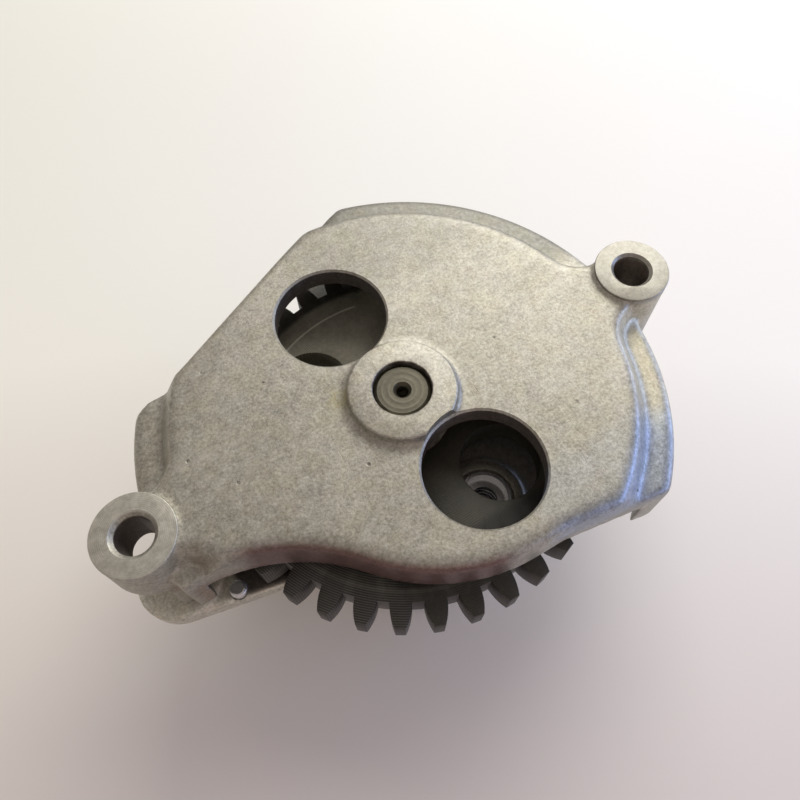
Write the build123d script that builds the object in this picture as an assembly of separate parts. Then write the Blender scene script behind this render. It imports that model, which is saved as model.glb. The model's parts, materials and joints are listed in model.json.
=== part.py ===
from build123d import *
import math
import os

os.makedirs("parts", exist_ok=True)

# Heights, stacked upwards from the port face
rotor_cover_thickness = 7.0
rotor_length = 9.9
rotor_end_clearance = 0.05
pocket_roof = 6.0
pad_rise = 0.5
ear_thickness = 4.5
thrust_washer_thickness = 1.0
thrust_clearance = 0.1
gear_hub_step = 0.4
gear_width = 6.5
cover_height = 20.0
plate_thickness = 4.0
centre_boss_rise = 2.0
shaft_recess = 0.8

# Mounting bolts, on a line through the shaft, just outside the skirt
bolt_stand_off = 1.1
bolt_hole_diameter = 6.5
bolt_hole_chamfer = 0.6
left_boss_radius = 7.0
right_boss_radius = 6.7
leg_foot_radius = 7.9
left_ear_radius = 7.5
left_ear_shift = (0.3, -2.5)
right_boss_rise = 1.0
left_boss_rise = 0.3
left_boss_length = 9.8
leg_wall = 3.6
leg_start_angle = -94.0
leg_sweep = 48.0

# Gear cover casting
gear_side_clearance = 7.2
ledge_width = 5.2
step_run = 2.7
ledge_drop = 4.8
ledge_thickness = 3.6
skirt_wall = 3.4
skirt_depth = 18.0
skirt_edge_round = 2.0
skirt_end_round = 2.0
same_radius = 0.00001
side_wall = 3.0
step_wall = 1.5
side_wall_depth = 10.0
plate_edge_round = 1.4
front_edge_round = 2.0
neck_half_width = 5.2
neck_foot_half_width = 6.4
neck_fillet = 8.0
chord_inset = 3.4
chord_draft = 1.0
chord_draft_depth = 5.8
chord_angle = 26.4
chord_flare = 2.5
chord_flare_run = 6.0
chord_end_run = 3.1
chord_flare_radius = 9.0
corner_round = 3.0
front_root_cover = 0.8
front_arc_centre_x = 6.2
front_knee_x = 11.5
front_knee_radius = 6.0
front_flare_angle = -8.0
front_arc_sweep = 49.4
hollow_end_inset = 5.3
hollow_end_drop = 2.9
centre_boss_radius = 9.0
centre_boss_foot_radius = 9.7
centre_boss_fillet = 1.1
centre_boss_edge = 0.5
bearing_hub_radius = 8.4
bearing_hub_depth = 8.5
upper_window_radius = 10.0
upper_window_centre = (-3.35, 19.75)
lower_window_radius = 10.2
lower_window_centre = (4.65, -18.2)
window_edge = 0.4

# Shaft
shaft_radius = 5.0
shaft_tail_radius = 4.0
shaft_clearance = 0.03
shaft_edge = 0.7
shaft_tail_gap = 0.3
shaft_tail_bearing = 4.0
centre_drill_radius = 1.6
centre_drill_depth = 3.5
centre_drill_rim_radius = 2.1
shaft_shoulder_gap = 0.2

# Driven gear
gear_module = 2.0
gear_teeth = 35
gear_tip_cut = 0.4
gear_dedendum = 2.6
gear_phase = -110.8
tooth_backlash = 0.1
pressure_angle = 20.0
gear_hub_radius = 9.0
gear_rim_thickness = 4.0
gear_web_recess = 1.2
gear_bore_clearance = 0.02
web_hole_radius = 7.2
web_hole_circle = 18.9
web_hole_count = 4
web_hole_phase = -54.5

# Cross pins that drive the gear and the inner rotor
gear_pin_radius = 1.5
gear_pin_length = 15.0
rotor_pin_radius = 1.25
rotor_pin_length = 14.0
pin_slot_clearance = 0.05

# Thrust washer and circlip
thrust_washer_radius = 8.5
circlip_thickness = 1.0
circlip_groove_depth = 0.5
circlip_width = 2.0
circlip_gap_angle = 70.0
circlip_clearance = 0.05

# Rotor set: four lobes turning in five
outer_lobes = 5
lobe_radius = 5.0
lobe_circle_radius = 13.2
eccentricity = 2.2
eccentric_angle = 109.3
rotor_clearance = 0.1
points_per_lobe = 12
valley_crowding = 0.8
outer_rotor_wall = 2.3
pocket_clearance = 0.08

# Pump body
barrel_wall = 10.5
barrel_draft = 2.0
arm_root_inset = 8.8
arm_edge = 0.6
arm_rib_thickness = 5.0
arm_rib_depth = 10.0
thrust_pad_radius = 9.5
balance_port_depth = 1.5
rear_lug_radius = 7.2
rear_lug_circle = 37.8
rear_lug_angle = 82.4
rear_lug_thickness = 9.0

# Rotor cover and its ports
rotor_cover_edge = 0.8
port_inner_radius = 7.4
port_outer_radius = 12.2
port_turn = 90.0
port_half_sweep = 62.0
port_pocket_depth = 3.0
port_hole_radius = 4.2
seal_wire_radius = 0.8
seal_groove_gap = 0.15
seal_radius = 6.2

# Screws and dowels between body and rotor cover
cover_screw_radius = 2.5
cover_screw_head_radius = 4.4
cover_screw_head_height = 2.2
cover_screw_length = 16.0
screw_tap_spare = 1.0
cover_screw_inset = 4.4
cover_screw_count = 4
cover_screw_phase = -115.0
screw_hole_clearance = 0.25
hex_socket_width = 3.0
hex_socket_depth = 1.8
body_dowel_radius = 2.0
body_dowel_length = 8.0
body_dowel_inset = 4.2
body_dowel_angle = 20.0
dowel_clearance = 0.02

# Dowel sleeve round the right bolt, and the locating pin beside the leg
sleeve_radius = 4.5
sleeve_wall = 1.0
sleeve_length = 7.0
locating_pin_radius = 1.6
locating_pin_rise = 1.2
locating_pin_depth = 4.0
locating_pin_round = 0.6
locating_pin_place = (-39.6, -9.8)

# Pressure relief valve
relief_wall = 1.58
relief_angle = -68.3
relief_collar_radius = 7.4
relief_collar_rise = 0.6
plunger_radius = 4.5
plunger_clearance = 0.04
plunger_length = 5.5
plunger_wall = 0.8
plunger_floor = 1.5
plunger_seat_gap = 0.1
cup_radius = 5.4
cup_wall = 1.0
cup_depth = 2.6
cup_vent_radius = 2.6
cup_edge = 0.5
spring_wire_radius = 0.4
spring_coil_clearance = 0.25
spring_turns = 7
spill_hole_radius = 1.4
spill_hole_rise = 2.8
relief_channel_width = 5.0

# Levels worked out from the stack
body_bottom = rotor_cover_thickness
pocket_top = body_bottom + rotor_length + 2 * rotor_end_clearance
deck_top = pocket_top + pocket_roof
pad_top = deck_top + pad_rise
ear_bottom = pad_top - ear_thickness
gear_hub_bottom = pad_top + thrust_washer_thickness + thrust_clearance
gear_bottom = gear_hub_bottom + gear_hub_step
gear_top = gear_bottom + gear_width
plate_top = pad_top + cover_height
ceiling = plate_top - plate_thickness
ledge_top = plate_top - ledge_drop
ledge_ceiling = ledge_top - ledge_thickness
skirt_bottom = plate_top - skirt_depth
side_wall_bottom = plate_top - side_wall_depth
boss_top = plate_top + centre_boss_rise
shaft_top = boss_top - shaft_recess
shaft_bottom = body_bottom - shaft_tail_bearing + shaft_tail_gap
shaft_shoulder = pocket_top + shaft_shoulder_gap
rotor_bottom = body_bottom + rotor_end_clearance
rotor_top = rotor_bottom + rotor_length
rotor_pin_level = rotor_top - rotor_pin_radius - pin_slot_clearance
gear_pin_level = gear_hub_bottom + gear_pin_radius + pin_slot_clearance
circlip_bottom = gear_top + 2 * circlip_clearance
collar_top = deck_top + relief_collar_rise
cup_bottom = collar_top - cup_depth
dowel_bottom = body_bottom - body_dowel_length / 2
dowel_top = dowel_bottom + body_dowel_length
screw_end = screw_hole_clearance + cover_screw_length

# Widths worked out from the sizes
pitch_radius = gear_module * gear_teeth / 2
gear_tip_radius = pitch_radius + gear_module - gear_tip_cut
gear_root_radius = pitch_radius - gear_dedendum
skirt_inner_radius = gear_tip_radius + gear_side_clearance
skirt_radius = skirt_inner_radius + skirt_wall
step_foot_radius = skirt_radius - ledge_width
plate_radius = step_foot_radius - step_run
chord_offset = plate_radius - chord_inset
front_offset = gear_root_radius + front_root_cover
bolt_x = skirt_radius + bolt_stand_off
bolt_hole_radius = bolt_hole_diameter / 2
rotor_cavity_radius = lobe_circle_radius + 2 * eccentricity - lobe_radius + rotor_clearance
outer_rotor_radius = rotor_cavity_radius + outer_rotor_wall
pocket_radius = outer_rotor_radius + pocket_clearance
barrel_radius = pocket_radius + eccentricity + barrel_wall
arm_root_radius = barrel_radius - arm_root_inset
cover_screw_circle = barrel_radius - cover_screw_inset
body_dowel_circle = barrel_radius - body_dowel_inset
plunger_bore_radius = plunger_radius + plunger_clearance
relief_circle = pocket_radius - eccentricity + relief_wall + plunger_bore_radius
port_mean_radius = (port_inner_radius + port_outer_radius) / 2


def polar(radius, angle):
    """Point at a radius and an angle in degrees."""
    return (radius * math.cos(math.radians(angle)), radius * math.sin(math.radians(angle)))


def post(radius, bottom, top, place=(0.0, 0.0)):
    """Upright cylinder between two levels."""
    base = Plane.XY.offset(bottom) * Pos(*place) * Circle(radius)
    return extrude(base, amount=top - bottom)


def slab(outline, bottom, top):
    """Flat outline raised between two levels."""
    return extrude(Plane.XY.offset(bottom) * outline, amount=top - bottom)


def turned(points, place=(0.0, 0.0)):
    """Solid of revolution from (radius, height) points."""
    profile = Plane.XZ * make_face(Polyline(points, close=True))
    return Pos(*place, 0) * revolve(profile, Axis.Z)


def soften(outline, corner, radius):
    """Round the corner of a flat outline that lies nearest a point."""
    nearest = outline.vertices().sort_by_distance((*corner, 0))[0]
    return fillet(nearest, radius)


relief_place = polar(relief_circle, relief_angle)
eccentric_place = polar(eccentricity, eccentric_angle)
screw_places = [
    polar(cover_screw_circle, cover_screw_phase + 360 * k / cover_screw_count)
    for k in range(cover_screw_count)
]
dowel_places = [polar(body_dowel_circle, body_dowel_angle + 180 * k) for k in range(2)]


def plate_outline(radius, half_width, root_fillet):
    """Round plate with a neck towards each bolt boss."""
    outline = Circle(radius) + Rectangle(2 * bolt_x, 2 * half_width)
    root_x = math.sqrt(radius**2 - half_width**2)
    for side_x in (root_x, -root_x):
        for side_y in (half_width, -half_width):
            outline = soften(outline, (side_x, side_y), root_fillet)
    return outline


def beyond_flat_side(inset):
    """All that lies beyond the flat side of the plan, moved inwards."""
    reach = 2 * skirt_radius
    flare_offset = chord_offset + chord_flare
    chord_end = math.sqrt(skirt_radius**2 - flare_offset**2)
    flare_end = (chord_end_run - chord_end, flare_offset - inset)
    flare_start = (flare_end[0] + chord_flare_run, chord_offset - inset)
    beyond = make_face(
        Polyline(
            (reach, chord_offset - inset),
            flare_start,
            flare_end,
            (-reach, flare_offset - inset),
            (-reach, reach),
            (reach, reach),
            close=True,
        )
    )
    beyond = soften(beyond, flare_start, chord_flare_radius)
    beyond = soften(beyond, flare_end, corner_round)
    return Rot(0, 0, chord_angle) * beyond


def cover_plan():
    """Outer plan of the cover: a disc with a flat side and an open front."""
    reach = 2 * skirt_radius
    knee = Vector(front_knee_x, -front_offset)
    arc_centre = Vector(front_arc_centre_x, 0)
    arc_start = arc_centre - Vector(0, front_offset)
    arc_middle = arc_centre + Vector(polar(front_offset, -90 - front_arc_sweep / 2))
    arc_end = arc_centre + Vector(polar(front_offset, -90 - front_arc_sweep))
    arc_direction = Vector(polar(1, 180 - front_arc_sweep))
    hollow_end = Vector(hollow_end_inset - bolt_x, -left_boss_radius - hollow_end_drop)
    flare = Vector(polar(1, front_flare_angle))
    flare_tip = knee + flare * reach
    along = knee.dot(flare)
    skirt_corner = knee + flare * (math.sqrt(along**2 - knee.dot(knee) + skirt_radius**2) - along)
    front = make_face(
        [
            Line(flare_tip, knee),
            Line(knee, arc_start),
            ThreePointArc(arc_start, arc_middle, arc_end),
            TangentArc(arc_end, hollow_end, tangent=arc_direction),
            Polyline(
                hollow_end,
                (-reach, hollow_end.Y),
                (-reach, -reach),
                (flare_tip.X, -reach),
                flare_tip,
            ),
        ]
    )
    front = soften(front, (knee.X, knee.Y), front_knee_radius)
    plan = Circle(skirt_radius) - beyond_flat_side(0) - front
    return soften(plan, (skirt_corner.X, skirt_corner.Y), skirt_end_round)


def rounded_prism(plan):
    """The plan raised to the plate, with its flat side drafted and its open front rounded on top."""
    prism = slab(plan, 0, plate_top)
    rim = prism.edges().filter_by_position(Axis.Z, plate_top, plate_top)
    front_walls = [edge for edge in rim if edge.center().Y < 0 and not on_skirt(edge)]
    prism = fillet(front_walls, front_edge_round)
    draft_foot = Plane.XY.offset(plate_top - chord_draft_depth) * beyond_flat_side(0)
    draft_top = Plane.XY.offset(plate_top) * beyond_flat_side(chord_draft)
    return prism - loft([draft_foot, draft_top], ruled=True)


def on_skirt(edge):
    """Whether an edge of the plan lies on the skirt's circle."""
    middle = edge @ 0.5
    return math.isclose(math.hypot(middle.X, middle.Y), skirt_radius, rel_tol=same_radius)


def make_gear_cover():
    """Die-cast cover: plate, sloped step, ledge, skirt, bosses, windows."""
    plan = cover_plan()
    ledge = make_face(
        Polyline(
            (0, skirt_bottom),
            (skirt_radius, skirt_bottom),
            (skirt_radius, ledge_top),
            (0, ledge_top),
            close=True,
        )
    )
    ledge = soften(ledge, (skirt_radius, ledge_top), skirt_edge_round)
    rim = revolve(Plane.XZ * ledge, Axis.Z)
    foot_fillet = neck_fillet - (step_foot_radius - plate_radius)
    plate_top_outline = plate_outline(plate_radius, neck_half_width, neck_fillet)
    plate_foot_outline = plate_outline(step_foot_radius, neck_foot_half_width, foot_fillet)
    plate = loft(
        [Plane.XY.offset(ledge_top) * plate_foot_outline, Plane.XY.offset(plate_top) * plate_top_outline],
        ruled=True,
    )
    plate = fillet(plate.faces().sort_by(Axis.Z)[-1].edges(), plate_edge_round)
    casting = (rim + plate) & rounded_prism(plan)
    inner_step = plate_radius - step_wall
    hollow = turned(
        [
            (0, 0),
            (skirt_inner_radius, 0),
            (skirt_inner_radius, ledge_ceiling),
            (inner_step + step_foot_radius - plate_radius, ledge_ceiling),
            (inner_step, ceiling),
            (0, ceiling),
        ]
    )
    inner_plan = offset(plan, -side_wall, kind=Kind.INTERSECTION)
    casting -= hollow & slab(inner_plan, 0, ceiling)
    casting -= post(skirt_inner_radius, 0, side_wall_bottom)
    boss_profile = make_face(
        Polyline(
            (0, ceiling),
            (centre_boss_foot_radius + centre_boss_fillet, ceiling),
            (centre_boss_foot_radius + centre_boss_fillet, plate_top),
            (centre_boss_foot_radius, plate_top),
            (centre_boss_radius, boss_top),
            (0, boss_top),
            close=True,
        )
    )
    boss_profile = soften(boss_profile, (centre_boss_foot_radius, plate_top), centre_boss_fillet)
    boss_profile = soften(boss_profile, (centre_boss_radius, boss_top), centre_boss_edge)
    casting += revolve(Plane.XZ * boss_profile, Axis.Z)
    casting += post(bearing_hub_radius, plate_top - bearing_hub_depth, ceiling)
    casting += post(right_boss_radius, pad_top, plate_top + right_boss_rise, (bolt_x, 0))
    casting += make_leg()
    for place, radius in (
        (upper_window_centre, upper_window_radius),
        (lower_window_centre, lower_window_radius),
    ):
        casting -= turned(
            [
                (0, side_wall_bottom),
                (radius, side_wall_bottom),
                (radius, plate_top - window_edge),
                (radius + window_edge, plate_top),
                (radius + window_edge, boss_top),
                (0, boss_top),
            ],
            place,
        )
    bore = shaft_radius + shaft_clearance
    casting -= turned(
        [
            (0, 0),
            (bore, 0),
            (bore, boss_top - centre_boss_edge),
            (bore + centre_boss_edge, boss_top),
            (0, boss_top),
        ]
    )
    for place_x, rise in ((bolt_x, right_boss_rise), (-bolt_x, left_boss_rise)):
        casting -= bolt_hole(plate_top + rise, (place_x, 0))
    casting -= post(sleeve_radius + dowel_clearance, pad_top, pad_top + sleeve_length / 2, (bolt_x, 0))
    return casting


def bolt_hole(top, place):
    """Bolt clearance hole with a chamfered mouth."""
    return turned(
        [
            (0, 0),
            (bolt_hole_radius, 0),
            (bolt_hole_radius, top - bolt_hole_chamfer),
            (bolt_hole_radius + bolt_hole_chamfer, top),
            (0, top),
        ],
        place,
    )


def make_leg():
    """Left bolt boss with a flared leg under its front side."""
    top = plate_top + left_boss_rise
    boss_end = top - left_boss_length
    cone = turned(
        [
            (0, pad_top),
            (leg_foot_radius, pad_top),
            (left_boss_radius, plate_top),
            (left_boss_radius, top),
            (0, top),
        ]
    )
    reach = 2 * leg_foot_radius
    leg_end_angle = leg_start_angle + leg_sweep
    sector = make_face(
        [
            Line((0, 0), polar(reach, leg_start_angle)),
            ThreePointArc(
                polar(reach, leg_start_angle),
                polar(reach, leg_start_angle + leg_sweep / 2),
                polar(reach, leg_end_angle),
            ),
            Line(polar(reach, leg_end_angle), (0, 0)),
        ]
    )
    foot = slab(sector, pad_top, top) - post(leg_foot_radius - leg_wall, pad_top, boss_end)
    return Pos(-bolt_x, 0, 0) * (cone & (foot + post(reach, boss_end, top)))


def flank_point(radius, side, middle):
    """Point of an involute flank, at a radius, on one side of a tooth's middle angle."""
    pressure = math.radians(pressure_angle)
    base_radius = pitch_radius * math.cos(pressure)
    half_pitch = (math.pi * gear_module / 2 - tooth_backlash) / (2 * pitch_radius)
    roll = math.acos(min(1.0, base_radius / radius))
    half = half_pitch + math.tan(pressure) - pressure - math.tan(roll) + roll
    return polar(radius, middle + side * math.degrees(half))


def gear_outline():
    """Toothed outline, tooth by tooth."""
    step = 360 / gear_teeth
    rising = (gear_root_radius, pitch_radius, gear_tip_radius)
    edges = []
    for k in range(gear_teeth):
        middle = gear_phase + k * step
        left = [flank_point(radius, -1, middle) for radius in rising]
        right = [flank_point(radius, 1, middle) for radius in reversed(rising)]
        next_left = flank_point(gear_root_radius, -1, middle + step)
        edges.append(ThreePointArc(*left))
        edges.append(ThreePointArc(left[-1], polar(gear_tip_radius, middle), right[0]))
        edges.append(ThreePointArc(*right))
        edges.append(ThreePointArc(right[-1], polar(gear_root_radius, middle + step / 2), next_left))
    return make_face(edges)


def make_driven_gear():
    """Spur gear with a recessed web, four web holes and a pin slot in its hub."""
    rim_inner = gear_root_radius - gear_rim_thickness
    gear = slab(gear_outline(), gear_bottom, gear_top)
    gear -= turned(
        [
            (gear_hub_radius, 0),
            (rim_inner, 0),
            (rim_inner, gear_bottom + gear_web_recess),
            (gear_hub_radius, gear_bottom + gear_web_recess),
        ]
    )
    gear += post(gear_hub_radius, gear_hub_bottom, gear_bottom + gear_web_recess)
    for k in range(web_hole_count):
        web_hole_place = polar(web_hole_circle, web_hole_phase + 360 * k / web_hole_count)
        gear -= post(web_hole_radius, 0, gear_top, web_hole_place)
    gear -= post(shaft_radius + gear_bore_clearance, 0, gear_top)
    slot = pin_slot(gear_pin_radius, gear_pin_length)
    gear -= slab(slot, gear_hub_bottom, gear_pin_level + gear_pin_radius + pin_slot_clearance)
    return gear


def pin_slot(radius, length):
    """Slot that a cross pin lies in, seen from above."""
    return Rectangle(length + 2 * pin_slot_clearance, 2 * (radius + pin_slot_clearance))


def cross_pin(radius, length, level, angle):
    """Round pin lying across the shaft."""
    pin = Plane.YZ.offset(-length / 2) * Circle(radius)
    return Pos(0, 0, level) * Rot(0, 0, angle) * extrude(pin, amount=length)


def circlip_ring():
    """Open retaining ring seen from above."""
    inner = shaft_radius - circlip_groove_depth + circlip_clearance
    ring = Circle(inner + circlip_width) - Circle(inner)
    reach = 2 * shaft_radius
    half_gap = circlip_gap_angle / 2
    mouth = Polyline((0, 0), polar(reach, -half_gap), polar(reach, half_gap), close=True)
    return ring - make_face(mouth)


def make_pump_shaft():
    """Stepped shaft with a centre drilling, a clip groove and two cross holes."""
    groove_bottom = gear_top + circlip_clearance
    groove_top = groove_bottom + circlip_thickness + 2 * circlip_clearance
    groove_radius = shaft_radius - circlip_groove_depth
    shaft = turned(
        [
            (0, shaft_bottom),
            (shaft_tail_radius - shaft_edge, shaft_bottom),
            (shaft_tail_radius, shaft_bottom + shaft_edge),
            (shaft_tail_radius, shaft_shoulder),
            (shaft_radius, shaft_shoulder),
            (shaft_radius, groove_bottom),
            (groove_radius, groove_bottom),
            (groove_radius, groove_top),
            (shaft_radius, groove_top),
            (shaft_radius, shaft_top - shaft_edge),
            (shaft_radius - shaft_edge, shaft_top),
            (centre_drill_rim_radius, shaft_top),
            (centre_drill_radius, shaft_top - shaft_edge),
            (centre_drill_radius, shaft_top - centre_drill_depth),
            (0, shaft_top - centre_drill_depth - centre_drill_radius),
        ]
    )
    shaft -= cross_pin(gear_pin_radius, 2 * gear_pin_length, gear_pin_level, 0)
    shaft -= cross_pin(rotor_pin_radius, 2 * rotor_pin_length, rotor_pin_level, eccentric_angle)
    return shaft


def make_inner_rotor():
    """Four-lobed rotor, the inner envelope of the outer rotor's round lobes."""
    gap = lobe_radius + rotor_clearance
    lobes = outer_lobes - 1
    samples = points_per_lobe * lobes
    wave = outer_lobes * eccentricity
    points = []
    for k in range(samples):
        even_turn = 2 * math.pi * k / samples
        turn = even_turn + valley_crowding * math.sin(lobes * even_turn) / lobes
        x = lobe_circle_radius * math.cos(turn) + eccentricity * math.cos(outer_lobes * turn)
        y = lobe_circle_radius * math.sin(turn) + eccentricity * math.sin(outer_lobes * turn)
        slope_x = -lobe_circle_radius * math.sin(turn) - wave * math.sin(outer_lobes * turn)
        slope_y = lobe_circle_radius * math.cos(turn) + wave * math.cos(outer_lobes * turn)
        length = math.hypot(slope_x, slope_y)
        points.append((x - gap * slope_y / length, y + gap * slope_x / length))
    outline = Rot(0, 0, eccentric_angle) * make_face(Spline(points, periodic=True))
    rotor = slab(outline, rotor_bottom, rotor_top)
    rotor -= post(shaft_tail_radius + gear_bore_clearance, 0, rotor_top)
    slot = pin_slot(rotor_pin_radius, rotor_pin_length)
    floor = rotor_pin_level - rotor_pin_radius - pin_slot_clearance
    return rotor - slab(Rot(0, 0, eccentric_angle) * slot, floor, rotor_top)


def make_outer_rotor():
    """Ring with five round lobes inside."""
    cavity = Circle(rotor_cavity_radius)
    for k in range(outer_lobes):
        lobe_place = polar(lobe_circle_radius, eccentric_angle + 360 * k / outer_lobes)
        cavity -= Pos(*lobe_place) * Circle(lobe_radius)
    ring = Circle(outer_rotor_radius) - cavity
    return slab(Pos(*eccentric_place) * ring, rotor_bottom, rotor_top)


def port_outline(side):
    """Kidney-shaped port on one side of the rotor set."""
    middle = eccentric_angle + side * port_turn
    turns = (middle - port_half_sweep, middle, middle + port_half_sweep)
    path = ThreePointArc(*[polar(port_mean_radius, turn) for turn in turns])
    return Pos(*eccentric_place) * SlotArc(path, port_outer_radius - port_inner_radius)


def port_place(side):
    """Middle of the round port hole."""
    spot = polar(port_mean_radius, eccentric_angle + side * port_turn)
    return (eccentric_place[0] + spot[0], eccentric_place[1] + spot[1])


def make_rotor_cover():
    """Port plate under the rotors, with kidney ports, seal grooves and screw holes."""
    cover = post(barrel_radius, 0, rotor_cover_thickness)
    cover = chamfer(cover.edges().sort_by(Axis.Z)[0], rotor_cover_edge)
    pocket_floor = rotor_cover_thickness - port_pocket_depth
    for side in (1, -1):
        cover -= slab(port_outline(side), pocket_floor, rotor_cover_thickness)
        cover -= post(port_hole_radius, 0, rotor_cover_thickness, port_place(side))
        groove = Circle(seal_radius + seal_wire_radius + seal_groove_gap)
        groove -= Circle(seal_radius - seal_wire_radius - seal_groove_gap)
        cover -= slab(Pos(*port_place(side)) * groove, 0, 2 * seal_wire_radius + seal_groove_gap)
    port_end = polar(port_mean_radius, eccentric_angle - port_turn - port_half_sweep)
    channel_start = (eccentric_place[0] + port_end[0], eccentric_place[1] + port_end[1])
    run = (relief_place[0] - channel_start[0], relief_place[1] - channel_start[1])
    middle = (channel_start[0] + run[0] / 2, channel_start[1] + run[1] / 2)
    turn = math.degrees(math.atan2(run[1], run[0]))
    channel = Pos(*middle) * Rot(0, 0, turn) * SlotCenterToCenter(math.hypot(*run), relief_channel_width)
    cover -= slab(channel, pocket_floor, rotor_cover_thickness)
    tail_bore = shaft_tail_radius + shaft_clearance
    cover -= post(tail_bore, rotor_cover_thickness - shaft_tail_bearing, rotor_cover_thickness)
    for place in screw_places:
        cover -= screw_hole(place)
    for place in dowel_places:
        cover -= post(body_dowel_radius + dowel_clearance, dowel_bottom, rotor_cover_thickness, place)
    return cover


def screw_hole(place):
    """Countersunk clearance hole in the rotor cover."""
    hole = cover_screw_radius + screw_hole_clearance
    mouth = cover_screw_head_radius + 2 * screw_hole_clearance
    depth = cover_screw_head_height + screw_hole_clearance
    profile = [(0, 0), (mouth, 0), (hole, depth), (hole, rotor_cover_thickness), (0, rotor_cover_thickness)]
    return turned(profile, place)


def make_rotor_cover_screws():
    """Countersunk socket screws, as separate solids of one group."""
    profile = [
        (0, screw_hole_clearance),
        (cover_screw_head_radius, screw_hole_clearance),
        (cover_screw_radius, screw_hole_clearance + cover_screw_head_height),
        (cover_screw_radius, screw_end),
        (0, screw_end),
    ]
    socket = RegularPolygon(hex_socket_width / 2, 6, major_radius=False)
    screw = turned(profile) - slab(socket, 0, screw_hole_clearance + hex_socket_depth)
    return Compound(children=[Pos(*place, 0) * screw for place in screw_places])


def arm_rib(side):
    """Upright rib under one arm, tapering to the ear."""
    inner_x = pocket_radius
    rib = make_face(
        Polyline(
            (inner_x, ear_bottom - arm_rib_depth),
            (barrel_radius, ear_bottom - arm_rib_depth),
            (bolt_x - left_ear_radius, ear_bottom),
            (inner_x, ear_bottom),
            close=True,
        )
    )
    solid = extrude(Plane.XZ * rib, amount=arm_rib_thickness / 2, both=True)
    return solid if side > 0 else mirror(solid, Plane.YZ)


def arm(place, radius, thickness):
    """Arm from the barrel to a round end, with a chamfered top edge."""
    end = Pos(*place) * Circle(radius)
    outline = make_hull(end.edges() + Circle(arm_root_radius).edges())
    solid = slab(outline, deck_top - thickness, deck_top)
    return chamfer(solid.faces().sort_by(Axis.Z)[-1].edges(), arm_edge)


def make_pump_body():
    """Rotor housing with two bolt arms, a rear lug, the shaft bearing and the relief valve collar."""
    slope = (deck_top - body_bottom) * math.tan(math.radians(barrel_draft))
    body = turned(
        [(0, body_bottom), (barrel_radius, body_bottom), (barrel_radius - slope, deck_top), (0, deck_top)]
    )
    body += post(relief_collar_radius, deck_top, collar_top, relief_place)
    body += post(thrust_pad_radius, deck_top, pad_top)
    left_ear_place = (left_ear_shift[0] - bolt_x, left_ear_shift[1])
    body += arm(polar(rear_lug_circle, rear_lug_angle), rear_lug_radius, rear_lug_thickness)
    for side, place, radius in ((1, (bolt_x, 0), right_boss_radius), (-1, left_ear_place, left_ear_radius)):
        body += arm(place, radius, deck_top - ear_bottom)
        body += post(radius, ear_bottom, pad_top, place)
        body += arm_rib(side)
    body -= post(pocket_radius, body_bottom, pocket_top, eccentric_place)
    for side in (1, -1):
        body -= slab(port_outline(side), body_bottom, pocket_top + balance_port_depth)
        body -= post(bolt_hole_radius, 0, pad_top, (side * bolt_x, 0))
    body -= post(shaft_radius + shaft_clearance, body_bottom, pad_top)
    body -= post(sleeve_radius + dowel_clearance, pad_top - sleeve_length / 2, pad_top, (bolt_x, 0))
    body -= post(locating_pin_radius, deck_top - locating_pin_depth, deck_top, locating_pin_place)
    for place in screw_places:
        body -= post(cover_screw_radius + dowel_clearance, body_bottom, screw_end + screw_tap_spare, place)
    for place in dowel_places:
        body -= post(body_dowel_radius + dowel_clearance, body_bottom, dowel_top, place)
    body -= post(plunger_bore_radius, body_bottom, cup_bottom, relief_place)
    body -= post(cup_radius, cup_bottom, collar_top, relief_place)
    spill = Plane.YZ * Circle(spill_hole_radius)
    spill = extrude(spill, amount=barrel_radius)
    spill = Pos(*relief_place, body_bottom + spill_hole_rise) * Rot(0, 0, relief_angle) * spill
    return body - spill


def make_relief_plunger():
    """Hollow plunger that lifts off the pressure channel."""
    bottom = body_bottom + plunger_seat_gap
    inner = plunger_radius - plunger_wall
    profile = [
        (0, bottom),
        (plunger_radius, bottom),
        (plunger_radius, bottom + plunger_length),
        (inner, bottom + plunger_length),
        (inner, bottom + plunger_floor),
        (0, bottom + plunger_floor),
    ]
    return turned(profile, relief_place)


def make_relief_cup():
    """Pressed cup that closes the relief bore and holds the spring."""
    profile = [
        (cup_vent_radius, cup_bottom),
        (cup_radius, cup_bottom),
        (cup_radius, collar_top - cup_edge),
        (cup_radius - cup_edge, collar_top),
        (cup_radius - cup_wall, collar_top),
        (cup_radius - cup_wall, cup_bottom + cup_wall),
        (cup_vent_radius, cup_bottom + cup_wall),
    ]
    return turned(profile, relief_place)


def make_relief_spring():
    """Coil spring between the plunger's floor and the cup."""
    bottom = body_bottom + plunger_seat_gap + plunger_floor
    length = cup_bottom - bottom
    coil = plunger_radius - plunger_wall - spring_coil_clearance - spring_wire_radius
    rise = length - 2 * spring_wire_radius
    path = Helix(rise / spring_turns, rise, coil)
    start = Plane(path @ 0, z_dir=path % 0)
    spring = sweep(start * Circle(spring_wire_radius), path=path)
    return Pos(*relief_place, bottom + spring_wire_radius) * spring


def make_seal(side):
    """Ring seal lying in its groove, flush with the port face."""
    return Pos(*port_place(side), seal_wire_radius) * Torus(seal_radius, seal_wire_radius)


def make_thrust_washer():
    """Plain washer between the gear hub and the body."""
    ring = Circle(thrust_washer_radius) - Circle(shaft_radius + thrust_clearance)
    return slab(ring, pad_top, pad_top + thrust_washer_thickness)


def make_dowel_sleeve():
    """Hollow dowel round the right bolt."""
    ring = Circle(sleeve_radius) - Circle(sleeve_radius - sleeve_wall)
    return slab(Pos(bolt_x, 0) * ring, pad_top - sleeve_length / 2, pad_top + sleeve_length / 2)


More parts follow.
